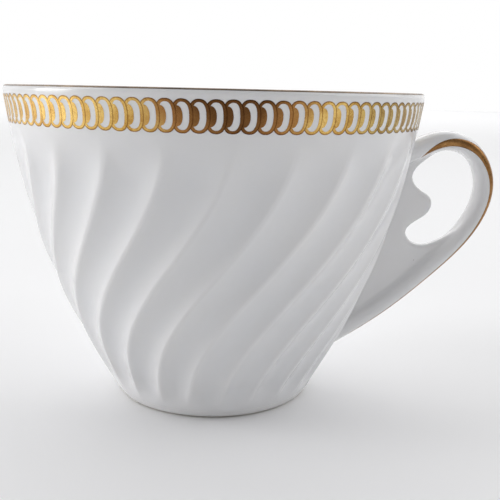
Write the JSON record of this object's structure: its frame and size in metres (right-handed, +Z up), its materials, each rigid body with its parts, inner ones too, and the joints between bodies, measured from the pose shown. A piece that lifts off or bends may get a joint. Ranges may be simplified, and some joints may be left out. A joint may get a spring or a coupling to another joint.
{
  "type": "teacup",
  "caption": "White porcelain teacup with swirled concave flutes, a heart-shaped handle opening and gold rim, ring border and handle line.",
  "frame": {"origin": "on the cup's axis, at the plane it stands on", "axes": "+Z up along the cup's axis, +X towards the handle"},
  "size_m": [0.106, 0.088, 0.0665],
  "materials": {
    "glazed_porcelain": "gloss",
    "bare_porcelain": "matte",
    "burnished_gold": "polished"
  },
  "bodies": {
    "root": {"cup_bowl": "glazed_porcelain", "foot_ring": "bare_porcelain", "cup_handle": "glazed_porcelain", "handle_luting_seam": "glazed_porcelain", "gold_rim_line": "burnished_gold", "gold_ring_border": "burnished_gold", "gold_handle_line": "burnished_gold"}
  },
  "joints": []
}
